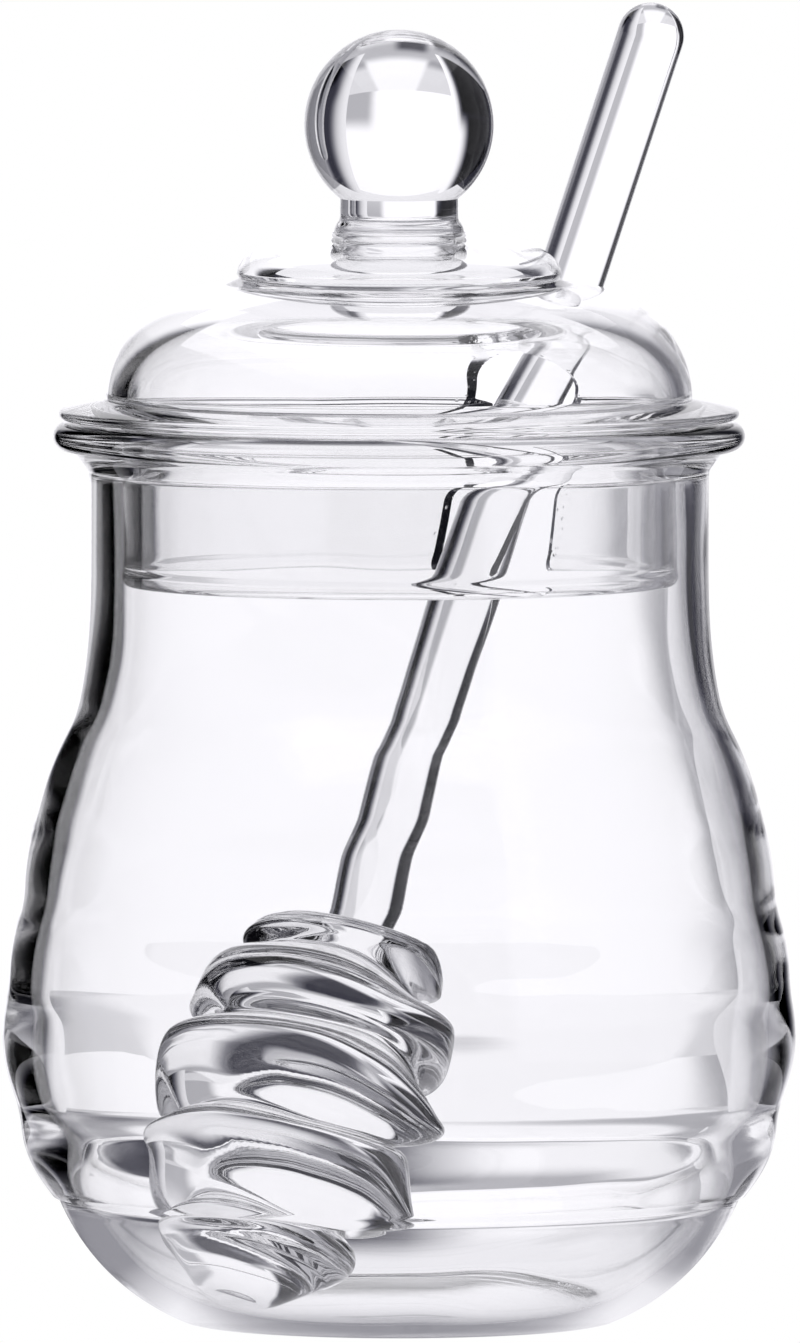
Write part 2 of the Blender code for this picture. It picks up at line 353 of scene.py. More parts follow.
@dataclass(frozen=True)
class ClearGlass:
    """The finish of one piece: clear glass, with the ripples, haze and seeds its making left."""

    name: str
    making: Blowing
    effects: GlassEffects
    seed: float = 1.0
    tint: tuple[float, float, float] = (0.998, 0.998, 0.999)
    ior: float = 1.47
    ripple_height: float = 0.004
    seed_height: float = 0.12
    seed_roughness: float = 0.1
    haze: float = 0.035

    def make(self) -> bpy.types.Material:
        """Builds the material.

        Returns:
            A Principled glass whose normal and roughness vary over the surface.
        """
        made = bpy.data.materials.new(self.name)
        made.use_nodes = True
        wiring = Wiring(made.node_tree)
        shader = made.node_tree.nodes["Principled BSDF"]
        shader.distribution = "GGX"
        shader.inputs["Base Color"].default_value = (*self.tint, 1.0)
        shader.inputs["IOR"].default_value = self.ior
        shader.inputs["Metallic"].default_value = 0.0
        shader.inputs["Transmission Weight"].default_value = 1.0
        size, stretch = {
            Blowing.BLOWN: (0.006, 0.7),
            Blowing.TURNED: (0.005, 0.6),
            Blowing.DRAWN: (0.003, 5.0),
        }[self.making]
        ripples = wiring.node("ShaderNodeGroup", node_tree=self.effects.ripples)
        for label, value in (("Size", size), ("Stretch", stretch), ("Seed", self.seed)):
            ripples.inputs[label].default_value = value
        haze = wiring.node("ShaderNodeGroup", node_tree=self.effects.haze)
        haze.inputs["Seed"].default_value = self.seed
        height = wiring.math("MULTIPLY", ripples.outputs["Height"], self.ripple_height)
        rough = wiring.math("MULTIPLY", haze.outputs["Mask"], self.haze)
        if self.making is Blowing.TURNED:
            seeds = wiring.node("ShaderNodeGroup", node_tree=self.effects.seeds).outputs
            edge = wiring.node("ShaderNodeAttribute", attribute_name="flamed").outputs["Fac"]
            bubble = wiring.math("MULTIPLY", seeds["Height"], edge)
            height = wiring.math("ADD", height, wiring.math("MULTIPLY", bubble, self.seed_height))
            mask = wiring.math("MULTIPLY", seeds["Mask"], edge)
            rough = wiring.math("ADD", rough, wiring.math("MULTIPLY", mask, self.seed_roughness))
        values = {"Strength": 1.0, "Distance": MM, "Height": height}
        bump = wiring.node("ShaderNodeBump", values)
        wiring.tree.links.new(bump.outputs["Normal"], shader.inputs["Normal"])
        wiring.tree.links.new(rough, shader.inputs["Roughness"])
        return made


@dataclass(frozen=True)
class Shaping:
    """A Geometry Nodes tree that moves the points of a piece by a rule, with named sizes."""

    name: str
    sizes: dict[str, float]

    def start(self) -> tuple[Wiring, dict[str, bpy.types.NodeSocket], bpy.types.Node]:
        """Makes the tree with its inputs.

        Returns:
            The wiring, the input sockets by name and the node that takes the geometry.
        """
        tree = bpy.data.node_groups.new(self.name, "GeometryNodeTree")
        tree.interface.new_socket("Geometry", in_out="INPUT", socket_type="NodeSocketGeometry")
        tree.interface.new_socket("Geometry", in_out="OUTPUT", socket_type="NodeSocketGeometry")
        for label in self.sizes:
            tree.interface.new_socket(label, in_out="INPUT", socket_type="NodeSocketFloat")
        tree.interface.new_socket("Material", in_out="INPUT", socket_type="NodeSocketMaterial")
        wiring = Wiring(tree)
        given = wiring.node("NodeGroupInput")
        sockets = {socket.name: socket for socket in given.outputs if socket.name}
        return wiring, sockets, wiring.node("NodeGroupOutput")

    def end(
        self,
        wiring: Wiring,
        given: dict[str, bpy.types.NodeSocket],
        out: bpy.types.Node,
        moved: bpy.types.NodeSocket,
    ) -> None:
        """Puts the points at their new places, as one mesh of one glass.

        Args:
            wiring: The tree's wiring.
            given: The input sockets by name.
            out: The node that takes the geometry.
            moved: Where the points go.
        """
        values = {"Geometry": given["Geometry"], "Position": moved}
        shaped = wiring.node("GeometryNodeSetPosition", values)
        real = wiring.node("GeometryNodeRealizeInstances", {0: shaped.outputs[0]})
        values = {"Geometry": real.outputs[0], "Material": given["Material"]}
        dressed = wiring.node("GeometryNodeSetMaterial", values)
        wiring.tree.links.new(dressed.outputs[0], out.inputs[0])

    def tree(self) -> bpy.types.NodeTree:
        """The rule. Each kind of shaping has its own."""
        raise NotImplementedError

    def shape(self, source: bpy.types.Object, glass: bpy.types.Material) -> bpy.types.Object:
        """Shapes a blank.

        Args:
            source: The blank. It is removed.
            glass: What the piece is made of.

        Returns:
            The shaped piece, a plain mesh under the blank's name.
        """
        name = source.name
        source.name = f"{name} blank"
        modifier = source.modifiers.new(self.name, "NODES")
        modifier.node_group = self.tree()
        for item in modifier.node_group.interface.items_tree:
            if item.in_out == "INPUT" and item.name in self.sizes:
                modifier[item.identifier] = float(self.sizes[item.name])
            elif item.name == "Material":
                modifier[item.identifier] = glass
        return baked(source, name)


@dataclass(frozen=True)
class BlownWaves(Shaping):
    """The slow waves of hand-worked glass, pressed into its wall from both sides."""

    def tree(self) -> bpy.types.NodeTree:
        """Moves each point inward by a noise of its place.

        Returns:
            The tree.
        """
        wiring, given, out = self.start()
        place = wiring.node("GeometryNodeInputPosition").outputs[0]
        outward = wiring.node("GeometryNodeInputNormal").outputs[0]
        scale = wiring.math("DIVIDE", 1.0, given["Wave Size"])
        values = {"Vector": place, "W": given["Seed"], "Scale": scale}
        values |= {"Detail": 1.0, "Roughness": 0.35}
        waves = wiring.node("ShaderNodeTexNoise", values, noise_dimensions="4D").outputs[0]
        depth = wiring.math("MULTIPLY", given["Wave Height"], -1.0)
        inward = wiring.math("MULTIPLY", wiring.ramp(waves, 0.2, 0.8), depth)
        self.end(wiring, given, out, wiring.vector("ADD", place, wiring.scaled(outward, inward)))
        return wiring.tree


@dataclass(frozen=True)
class WindingRidge(Shaping):
    """The one ridge that winds up the dipper's head, left standing by a pressed groove."""

    def tree(self) -> bpy.types.NodeTree:
        """Presses each point toward the axis by how far it is from the ridge's crest.

        Returns:
            The tree.
        """
        wiring, given, out = self.start()
        place = wiring.node("GeometryNodeInputPosition").outputs[0]
        x, y, height = wiring.node("ShaderNodeSeparateXYZ", {0: place}).outputs
        angle = wiring.math("WRAP", wiring.math("ARCTAN2", y, x), math.tau, 0.0)
        climb = wiring.math("MULTIPLY", given["Pitch"], wiring.math("DIVIDE", angle, math.tau))
        side = wiring.math("SUBTRACT", 1.0, wiring.math("COSINE", angle))
        tilt = wiring.math("MULTIPLY", given["Lean"], side)
        crest = wiring.math("SUBTRACT", wiring.math("ADD", given["Start"], climb), tilt)
        turns = wiring.math("DIVIDE", wiring.math("SUBTRACT", height, crest), given["Pitch"])
        away = wiring.math("ABSOLUTE", wiring.math("SUBTRACT", turns, wiring.math("ROUND", turns)))
        opposite = wiring.math("SUBTRACT", 1.0, away)
        folded = wiring.math("SMOOTH_MIN", away, opposite, given["Softness"])
        across = wiring.math("MULTIPLY", wiring.math("MULTIPLY", folded, 2.0), given["Roundness"])
        square = wiring.math("MULTIPLY", across, across)
        roll = wiring.math("SQRT", wiring.math("SUBTRACT", 1.0, square))
        wave = wiring.math("SUBTRACT", 1.0, roll)
        low = wiring.ramp(height, given["Groove Begins"], given["Full Depth"])
        left = wiring.math("SUBTRACT", given["Head Length"], height)
        share = wiring.math("MULTIPLY", low, wiring.ramp(left, 0.0, given["Fade"]))
        deep = wiring.math("MULTIPLY", given["Depth"], wiring.math("MULTIPLY", wave, share))
        level = wiring.node("ShaderNodeCombineXYZ", {0: x, 1: y, 2: 0.0}).outputs[0]
        press = wiring.scaled(wiring.vector("NORMALIZE", level), deep)
        self.end(wiring, given, out, wiring.vector("SUBTRACT", place, press))
        return wiring.tree


def smooth_step(value: float) -> float:
    """Zero to one with level ends."""
    value = min(max(value, 0.0), 1.0)
    return value * value * (3 - 2 * value)


def wave_sizes(size: float, height: float, seed: float) -> dict[str, float]:
    """The inputs of the blown waves, for a size and a height in millimetres."""
    return {"Wave Size": size * MM, "Wave Height": height * MM, "Seed": seed}


@dataclass
class Jar:
    """The blown jar: a plain neck with a rolled lip over a belly of five soft ribs."""

    foot_radius: float = 22.6
    foot_hollow: float = 0.4
    floor: float = 2.0
    wall: float = 2.4
    neck_radius: float = 33.3
    neck_wall: float = 2.6
    neck_foot: float = 84.0
    base_curve: float = 24.8
    inner_rib_share: float = 0.55
    groove_softness: float = 1.6
    grooves: tuple[tuple[float, float], ...] = (
        (65.4, 34.9),
        (54.6, 39.0),
        (45.2, 40.4),
        (36.0, 42.0),
        (22.9, 40.7),
        (12.4, 36.1),
    )
    swells: tuple[float, ...] = (0.5, 0.4, 0.5, 1.25, 1.4)
    lip_radius: float = 37.15
    lip_top: float = 96.9
    lip_bead: float = 1.55
    lip_underside: float = 91.4
    mouth_rounding: float = 1.5
    neck_wall_starts: float = 58.0
    neck_wall_rise: float = 14.0
    base_wall_fade: float = 16.0
    row: float = 0.55
    wave_size: float = 20.0
    wave_height: float = 0.1
    steps: int = 240

    def ribbed(self, height: float, share: float) -> float:
        """The outer radius at a height.

        Args:
            height: Height over the table, in millimetres.
            share: How much of the ribs' swell shows.

        Returns:
            The radius in millimetres, before its grooves are softened.
        """
        first_height, first_radius = self.grooves[0]
        if height >= first_height:
            flare = max(self.neck_foot - height, 0.0) / (self.neck_foot - first_height)
            return self.neck_radius + (first_radius - self.neck_radius) * flare**3
        for above, below, swell in zip(self.grooves, self.grooves[1:], self.swells):
            if height >= below[0]:
                along = (above[0] - height) / (above[0] - below[0])
                straight = above[1] + (below[1] - above[1]) * along
                return straight + share * swell * math.sin(math.pi * along)
        return self.curve_radius(height, 0.0)

    def base_centre(self) -> Vector:
        """The centre of the round stretch from the foot's edge to the lowest groove.

        Returns:
            Its reach and height, in millimetres.
        """
        foot = Vector((self.foot_radius, 0.0))
        groove = Vector((self.grooves[-1][1], self.grooves[-1][0]))
        half = (groove - foot) / 2
        inward = Vector((-half.y, half.x)).normalized()
        return foot + half + inward * math.sqrt(self.base_curve**2 - half.length_squared)

    def curve_radius(self, height: float, inset: float) -> float:
        """The radius of the round base at a height, inset by a wall's thickness.

        Args:
            height: Height over the table, in millimetres.
            inset: The wall's thickness, or 0 for the outside.

        Returns:
            The radius in millimetres.
        """
        centre = self.base_centre()
        radius = self.base_curve - inset
        return centre.x + math.sqrt(max(radius**2 - (centre.y - height) ** 2, 0.0))

    def soft(self, height: float, share: float) -> float:
        """The ribbed radius with its grooves rounded, as blown glass leaves them."""
        steps = np.linspace(-1.0, 1.0, 9) * self.groove_softness
        return float(np.mean([self.ribbed(height + step, share) for step in steps]))

    def section(self) -> Section:
        """The jar's section, from the middle of its floor up inside, over the lip and down.

        Returns:
            The points, in millimetres.
        """
        centre = self.base_centre()
        lowest = self.grooves[-1][0]
        join = lowest + 1.0
        shoulder = self.neck_foot + 4.0
        inner = self.base_curve - self.wall
        start = -math.degrees(math.asin((centre.y - self.floor) / inner))
        end = -math.degrees(math.asin((centre.y - join) / inner))
        floor_edge = inner * math.cos(math.radians(start)) + centre.x
        inside = [(reach, self.floor) for reach in np.linspace(0.0, floor_edge, 8)[:-1]]
        inside += arc((centre.x, centre.y), inner, start, end, 18)
        low_wall = self.soft(join, self.inner_rib_share) - self.curve_radius(join, self.wall)
        for height in np.arange(join + 0.4, shoulder, self.row):
            rise = smooth_step((height - self.neck_wall_starts) / self.neck_wall_rise)
            wall = self.wall + (self.neck_wall - self.wall) * rise
            fade = 1 - smooth_step((height - join) / self.base_wall_fade)
            wall += (low_wall - self.wall) * fade
            inside.append((self.soft(height, self.inner_rib_share) - wall, height))
        neck_inside = self.neck_radius - self.neck_wall
        inside += [(neck_inside, height) for height in (90.0, 93.0)]
        mouth = (neck_inside + self.mouth_rounding, self.lip_top - self.mouth_rounding)
        inside += arc(mouth, self.mouth_rounding, 180, 90, 8)
        bead = (self.lip_radius - self.lip_bead, self.lip_top - self.lip_bead)
        lip = arc(bead, self.lip_bead, 90, -110, 18)
        under = [
            lip[-1],
            (self.neck_radius + 0.3, self.lip_underside + 0.6),
            (self.neck_radius, self.lip_underside),
            (self.neck_radius, shoulder),
        ]
        lip = lip[:-1] + rounded(under, 1.2)[:-1]
        rows = np.arange(shoulder, join, -self.row)
        outside = [(self.soft(height, 1.0), height) for height in rows]
        foot_angle = -math.degrees(math.asin(centre.y / self.base_curve))
        groove_angle = -math.degrees(math.asin((centre.y - join) / self.base_curve))
        base = arc((centre.x, centre.y), self.base_curve, groove_angle, foot_angle + 1.5, 20)
        foot = [
            (self.foot_radius - 0.5, 0.0),
            (self.foot_radius - 2.0, 0.15),
            (self.foot_radius * 0.6, self.foot_hollow),
            (0.0, self.foot_hollow),
        ]
        return inside + lip + outside + base + foot

    def build(self, finish: ClearGlass) -> bpy.types.Object:
        """Makes the jar.

        Args:
            finish: The glass it is blown from.

        Returns:
            The finished piece, riding on the root body.
        """
        waves = BlownWaves("blown waves", wave_sizes(self.wave_size, self.wave_height, 1.0))
        made = waves.shape(turned("blown_jar", self.section(), self.steps), finish.make())
        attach(made, "root")
        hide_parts("jar")
        return made


@dataclass
class Lid:
    """The lid: ball knob, small dome, wide dome, flange and skirt, fused into one."""

    lip_top: float = 96.9
    gap: float = 0.3
    flange_radius: float = 36.5
    flange_edge: float = 1.1
    dome_foot: tuple[float, float] = (31.5, 99.2)
    shoulder_radius: float = 18.5
    dome_top: float = 111.7
    wall: float = 2.3
    step_radius: float = 17.4
    step_crease: float = 112.3
    step_foot: float = 112.8
    step_top: float = 117.2
    step_undercut: float = 0.3
    roof_radius: float = 5.0
    knob_neck: float = 6.35
    knob_ring: float = 6.9
    ball_radius: float = 10.2
    ball_centre: float = 128.8
    skirt_radius: float = 29.7
    skirt_wall: float = 2.1
    skirt_bottom: float = 79.4
    skirt_bead: float = 0.35
    notch_width: float = 13.4
    notch_top: float = 108.6
    notch_azimuth: float = 64.0
    notch_lean: float = 8.0
    notch_pivot: float = 91.0
    notch_reach: tuple[float, float] = (18.0, 45.0)
    notch_depth: float = 30.0
    flamed_reach: float = 1.6
    sharp_angle: float = 40.0
    wave_size: float = 20.0
    wave_height: float = 0.05
    steps: int = 240

    def knob(self) -> Section:
        """The knob's section from the top of its ball down to the small dome.

        Returns:
            The points, in millimetres.
        """
        neck_angle = -math.degrees(math.acos(self.knob_neck / self.ball_radius))
        ball = arc((0.0, self.ball_centre), self.ball_radius, 90, neck_angle, 48)
        ball[0] = (0.0, self.ball_centre + self.ball_radius)
        ring = self.step_top + 0.7
        neck = [
            ball[-1],
            (self.knob_neck, ring + 0.8),
            (self.knob_ring, ring),
            (self.knob_ring + 0.1, self.step_top),
            (self.knob_ring + 1.5, self.step_top - 0.05),
        ]
        return ball[:-1] + rounded(neck, 0.35)[:-1]

    def section(self) -> Section:
        """The lid's section, from the knob down its outer side and up inside to the middle.

        Returns:
            The points, in millimetres.
        """
        step_top = (self.knob_ring, self.step_top)
        step = quarter_oval((self.step_radius, self.step_foot), step_top, 40)[::-1]
        step = [point for point in step if point[0] > self.knob_ring + 2.0]
        dome = quarter_oval(self.dome_foot, (self.shoulder_radius, self.dome_top), 40)[::-1]
        join = [step[-1], (self.step_radius - self.step_undercut, self.step_crease), dome[0]]
        flange_bottom = self.lip_top + self.gap
        edge = self.flange_edge / 2
        rim = arc((self.flange_radius - edge, flange_bottom + edge), edge, 75, -90, 12)
        flange = rounded([dome[-2], dome[-1], rim[0]], 0.8)[1:]
        low = self.skirt_bottom + 2.0
        skirt = [rim[-1], (self.skirt_radius, flange_bottom), (self.skirt_radius, low)]
        bead = (self.skirt_wall + self.skirt_bead) / 2
        bead_centre = (self.skirt_radius - self.skirt_wall / 2, self.skirt_bottom + bead)
        foot = arc(bead_centre, bead, 0, -180, 14)
        inner_skirt = self.skirt_radius - self.skirt_wall
        inner_shoulder = (self.shoulder_radius - self.wall, self.dome_top - self.wall)
        inner_foot = (self.dome_foot[0] - self.wall, self.dome_foot[1])
        inner_dome = quarter_oval(inner_foot, inner_shoulder, 30)
        ceiling = self.step_top - self.wall
        roof_foot = (self.step_radius - self.wall, self.step_crease)
        roof = quarter_oval(roof_foot, (self.roof_radius, ceiling), 30)
        up = [(inner_skirt, low), (inner_skirt, flange_bottom - 1.0), inner_dome[0]]
        outer = step[:-1] + rounded(join, 0.5) + dome[1:-2] + flange[:-1] + rim[:-1]
        outer += rounded([*skirt, foot[0]], 0.5)[:-1] + foot[:-1]
        inner = rounded([foot[-1], *up], 0.8)[:-1] + inner_dome[:-1]
        crease = (roof[0][0], inner_dome[-1][1] + 0.2)
        inner += rounded([inner_dome[-1], crease, roof[0]], 0.6)[:-1]
        return self.knob() + outer + inner + roof + [(0.0, ceiling)]

    def notch_cutter(self) -> bpy.types.Object:
        """A round-topped slot that cuts radially through the lid's back.

        Returns:
            The cutter.
        """
        half = self.notch_width / 2
        outline = arc((0.0, self.notch_top - half - self.notch_pivot), half, 0, 180, 48)
        outline += [(-half, -self.notch_depth), (half, -self.notch_depth)]
        build = bmesh.new()
        ends = [
            [build.verts.new((across, up, reach)) for across, up in outline]
            for reach in self.notch_reach
        ]
        build.faces.new(ends[0])
        build.faces.new(ends[1])
        for i in range(len(outline)):
            j = (i + 1) % len(outline)
            build.faces.new((ends[0][i], ends[0][j], ends[1][j], ends[1][i]))
        bmesh.ops.recalc_face_normals(build, faces=build.faces)
        mesh = bpy.data.meshes.new("notch cutter")
        build.to_mesh(mesh)
        build.free()
        azimuth = math.radians(self.notch_azimuth)
        turn = Matrix.Rotation(azimuth + math.pi / 2, 4, "Z") @ Matrix.Rotation(math.pi / 2, 4, "X")
        lean = Matrix.Rotation(math.radians(self.notch_lean), 4, "Z")
        rise = Matrix.Translation((0.0, 0.0, self.notch_pivot))
        mesh.transform(Matrix.Scale(MM, 4) @ rise @ turn @ lean)
        return placed("notch cutter", mesh)

    def flame(self, made: bpy.types.Object, cutter: bpy.types.Object) -> None:
        """Marks how near each point is to the notch's flamed edge.

        Args:
            made: The lid with its notch cut.
            cutter: What cut it.
        """
        tree = BVHTree.FromPolygons(
            [vertex.co for vertex in cutter.data.vertices],
            [list(face.vertices) for face in cutter.data.polygons],
        )
        flamed = made.data.attributes.new("flamed", "FLOAT", "POINT")
        reach = self.flamed_reach * MM
        for vertex in made.data.vertices:
            near = tree.find_nearest(vertex.co, reach)[3]
            flamed.data[vertex.index].value = 0.0 if near is None else 1.0 - near / reach

    def build(self, finish: ClearGlass) -> bpy.types.Object:
        """Makes the lid.

        Args:
            finish: The glass it is blown from.

        Returns:
            The finished piece, riding on the root body.
        """
        blank = turned("lid blank", self.section(), self.steps)
        cutter = self.notch_cutter()
        cut = blank.modifiers.new("Notch", "BOOLEAN")
        cut.operation = "DIFFERENCE"
        cut.object = cutter
        made = baked(blank, "domed_lid")
        made.data.shade_smooth()
        made.data.set_sharp_from_angle(angle=math.radians(self.sharp_angle))
        self.flame(made, cutter)
        bpy.data.objects.remove(cutter)
        waves = BlownWaves("turned waves", wave_sizes(self.wave_size, self.wave_height, 2.0))
        made = waves.shape(made, finish.make())
        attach(made, "root")
        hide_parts("lid")
        return made


@dataclass
class Dipper:
    """The dipper: a solid rod fused to an egg-shaped head with one winding ridge."""

    rod_radius: float = 3.7
    length: float = 154.6
    tip: tuple[float, float, float] = (-17.3, -17.8, 4.6)
    at_mouth: tuple[float, float, float] = (13.9, 22.9, 97.0)
    head_length: float = 41.4
    head_radius: float = 15.9
    head_half_lengths: tuple[float, float] = (23.0, 24.0)
    head_middle: float = 22.5
    pitch: float = 9.35
    start: float = 3.5
    lean: float = 1.6
    depth: float = 6.6
    roundness: float = 0.97
    softness: float = 0.14
    begin: tuple[float, float] = (1.0, 6.0)
    end: float = 4.0
    shoulder_rounding: float = 1.2
    tip_radius: float = 3.8
    tip_height: float = 3.4
    wave_size: float = 9.0
    wave_height: float = 0.12
    row: float = 0.14
    steps: int = 220

    def crest(self, height: float) -> float:
        """The head's crest radius at a height over the tip: an egg cut off at both ends.

        Args:
            height: Height over the tip, in millimetres.

        Returns:
            The radius in millimetres.
        """
        below, above = self.head_half_lengths
        half = above if height > self.head_middle else below
        offset = (height - self.head_middle) / half
        return self.head_radius * math.sqrt(max(1 - offset**2, 0.0))

    def section(self) -> Section:
        """The section without the ridge, from the top of the rod down to the tip.

        Returns:
            The points, in millimetres.
        """
        points = arc((0.0, self.length - self.rod_radius), self.rod_radius, 90, 0, 16)
        points[0] = (0.0, self.length)
        shoulder_height = self.head_length - self.shoulder_rounding
        shoulder = (self.crest(shoulder_height) - self.shoulder_rounding, shoulder_height)
        edge = arc(shoulder, self.shoulder_rounding, 90, 0, 8)
        neck = [
            points[-1],
            (self.rod_radius, self.head_length + 1.0),
            (self.rod_radius + 0.8, self.head_length),
            edge[0],
        ]
        points = points[:-1] + rounded(neck, 1.2)[:-1] + edge[:-1]
        rows = np.arange(shoulder_height, self.tip_height + 0.6, -self.row)
        points += [(self.crest(height), height) for height in rows]
        edge = (self.crest(self.tip_height), self.tip_height)
        cone = [points[-1], edge, (self.tip_radius, 0.0), (0.0, 0.0)]
        return points[:-1] + rounded(cone, 1.4)

    def ridge(self) -> WindingRidge:
        """The winding ridge, in metres over the tip.

        Returns:
            The shaping, with its sizes.
        """
        sizes = {
            "Pitch": self.pitch * MM,
            "Start": self.start * MM,
            "Lean": self.lean * MM,
            "Depth": self.depth * MM,
            "Roundness": self.roundness,
            "Softness": self.softness,
            "Groove Begins": self.begin[0] * MM,
            "Full Depth": self.begin[1] * MM,
            "Head Length": self.head_length * MM,
            "Fade": self.end * MM,
        }
        return WindingRidge("winding ridge", sizes)

    def build(self, finish: ClearGlass) -> bpy.types.Object:
        """Makes the dipper and leans it in the jar.

        Args:
            finish: The glass it is drawn from.

        Returns:
            The finished piece, riding on the root body.
        """
        glass = finish.make()
        made = self.ridge().shape(turned("ridged_dipper", self.section(), self.steps), glass)
        waves = BlownWaves("drawn waves", wave_sizes(self.wave_size, self.wave_height, 3.0))
        made = waves.shape(made, glass)
        tip, mouth = Vector(self.tip) * MM, Vector(self.at_mouth) * MM
        lean = Vector((0.0, 0.0, 1.0)).rotation_difference((mouth - tip).normalized())
        turn = lean @ Matrix.Rotation(math.pi, 4, "Z").to_quaternion()
        made.data.transform(Matrix.Translation(tip) @ turn.to_matrix().to_4x4())
        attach(made, "root")
        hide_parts("dipper")
        return made


class Wall(Enum):
    """The walls of the light box and the two flags in it, as the camera sees them."""

    BACK = "back"
    GROUND = "ground"
    LEFT = "left"
    RIGHT = "right"
    TOP = "top"
    FRONT = "front"
    LEFT_FLAG = "left flag"
    RIGHT_FLAG = "right flag"


@dataclass(frozen=True)
class Card:
    """A card or lamp on one wall of the light box, with soft edges.

    The places are millimetres across and up the wall, or across and away from the camera on
    the ground and the top. A shade of 1 is the white of the picture.
    """

    wall: Wall
    across: tuple[float, float]
    up: tuple[float, float]
    shade: float
    soft: tuple[float, float] = (20.0, 20.0)

    def cover(self, across: np.ndarray, up: np.ndarray) -> np.ndarray:
        """How much the card covers each place.

        Args:
            across: Places across the wall.
            up: Places up the wall.

        Returns:
            One where it covers, zero where it doesn't.
        """
        covered = np.ones_like(across)
        sides = ((across, self.across, self.soft[0]), (up, self.up, self.soft[1]))
        for place, (start, end), soft in sides:
            for distance in (place - start, end - place):
                rise = np.clip(distance / soft + 0.5, 0.0, 1.0)
                covered = covered * rise * rise * (3 - 2 * rise)
        return covered


@dataclass
class LightBox:
    """The light round the jar: a bright screen, with a flag before it on either side.

    Only the glass sees it. Its walls are placed in millimetres from the jar's foot. The box
    turns with the camera, as the lights do when a jar is turned on a turntable.
    """

    half_width: float = 300.0
    screen: float = 450.0
    front: float = -450.0
    top: float = 420.0
    ground: float = -0.5
    flags: float = 150.0
    flags_top: float = 235.0
    left_flag: float = -62.0
    right_flag: float = 58.0
    cell: float = 5.0
    coolness: float = 0.035
    shades: tuple[tuple[Wall, float], ...] = (
        (Wall.BACK, 1.1),
        (Wall.GROUND, 0.3),
        (Wall.LEFT, 0.03),
        (Wall.RIGHT, 0.45),
        (Wall.TOP, 0.92),
        (Wall.FRONT, 0.01),
        (Wall.LEFT_FLAG, 1.1),
        (Wall.RIGHT_FLAG, 0.92),
    )
    cards: tuple[Card, ...] = (
        Card(Wall.BACK, (84, 400), (-50, 110), 0.5, (40, 60)),
        Card(Wall.LEFT_FLAG, (-400, -73), (-50, 120), 0.0, (12, 30)),
        Card(Wall.LEFT_FLAG, (-400, -84), (100, 300), 0.0, (24, 30)),
        Card(Wall.RIGHT_FLAG, (76, 400), (-50, 300), 0.3, (36, 30)),
        Card(Wall.RIGHT_FLAG, (84, 160), (-50, 88), 0.0, (36, 25)),
        Card(Wall.RIGHT_FLAG, (86, 124), (60, 300), 0.04, (24, 25)),
        Card(Wall.GROUND, (-400, 400), (230, 500), 0.78, (40, 60)),
        Card(Wall.GROUND, (-400, -58), (-500, 190), 0.0, (16, 60)),
        Card(Wall.GROUND, (-400, 400), (-500, -60), 0.04, (40, 30)),
        Card(Wall.GROUND, (-30, 33), (-13, 80), 0.9, (10, 14)),
        Card(Wall.GROUND, (-56, 66), (62, 500), 1.04, (14, 20)),
        Card(Wall.GROUND, (-400, 400), (115, 200), 0.5, (50, 50)),
        Card(Wall.GROUND, (-46, 4), (56, 158), 0.04, (18, 36)),
        Card(Wall.TOP, (-400, 400), (-500, -150), 0.5, (60, 60)),
    )

    def place(self, wall: Wall, across: float, up: float) -> tuple[float, float, float]:
        """Where a place on a wall is, in millimetres.

        Args:
            wall: The wall.
            across: The place across it.
            up: The place up it, or away from the camera.

        Returns:
            The place in the box.
        """
        return {
            Wall.BACK: (across, self.screen, up),
            Wall.FRONT: (across, self.front, up),
            Wall.LEFT_FLAG: (across, self.flags, up),
            Wall.RIGHT_FLAG: (across, self.flags, up),
            Wall.LEFT: (-self.half_width, across, up),
            Wall.RIGHT: (self.half_width, across, up),
            Wall.GROUND: (across, up, self.ground),
            Wall.TOP: (across, up, self.top),
        }[wall]

    def spans(self, wall: Wall) -> tuple[np.ndarray, np.ndarray]:
        """The places of a wall's points across and up it, one cell apart.

        Args:
            wall: The wall.

        Returns:
            The places across and the places up, in millimetres.
        """
        wide = (-self.half_width, self.half_width)
        deep = (self.front, self.screen)
        high, low = (self.ground, self.top), (self.ground, self.flags_top)
        across, up = {
            Wall.LEFT: (deep, high),
            Wall.RIGHT: (deep, high),
            Wall.GROUND: (wide, deep),
            Wall.TOP: (wide, deep),
            Wall.LEFT_FLAG: ((-self.half_width, self.left_flag), low),
            Wall.RIGHT_FLAG: ((self.right_flag, self.half_width), low),
        }.get(wall, (wide, high))
        return tuple(
            np.linspace(start, end, round((end - start) / self.cell) + 1)
            for start, end in (across, up)
        )

    def colours(self, wall: Wall, across: np.ndarray, up: np.ndarray) -> np.ndarray:
        """The light at places on a wall.

        Args:
            wall: The wall.
            across: Places across it.
            up: Places up it.

        Returns:
            Red, green, blue and alpha for each place, a little cool in the greys.
        """
        shade = np.full(across.shape, dict(self.shades)[wall])
        for card in self.cards:
            if card.wall is wall:
                cover = card.cover(across, up)
                shade = shade * (1 - cover) + card.shade * cover
        cool = shade + self.coolness * shade / (shade + 0.05)
        return np.stack([shade, shade * 0.99, cool, np.ones_like(shade)], axis=-1)

    def glow(self) -> bpy.types.Material:
        """The material of the walls, which gives the light that each point holds.

        Returns:
            The material.
        """
        made, glow = glowing("light box")
        made.cycles.emission_sampling = "NONE"
        light = made.node_tree.nodes.new("ShaderNodeAttribute")
        light.attribute_name = "light"
        made.node_tree.links.new(light.outputs["Color"], glow.inputs["Color"])
        return made

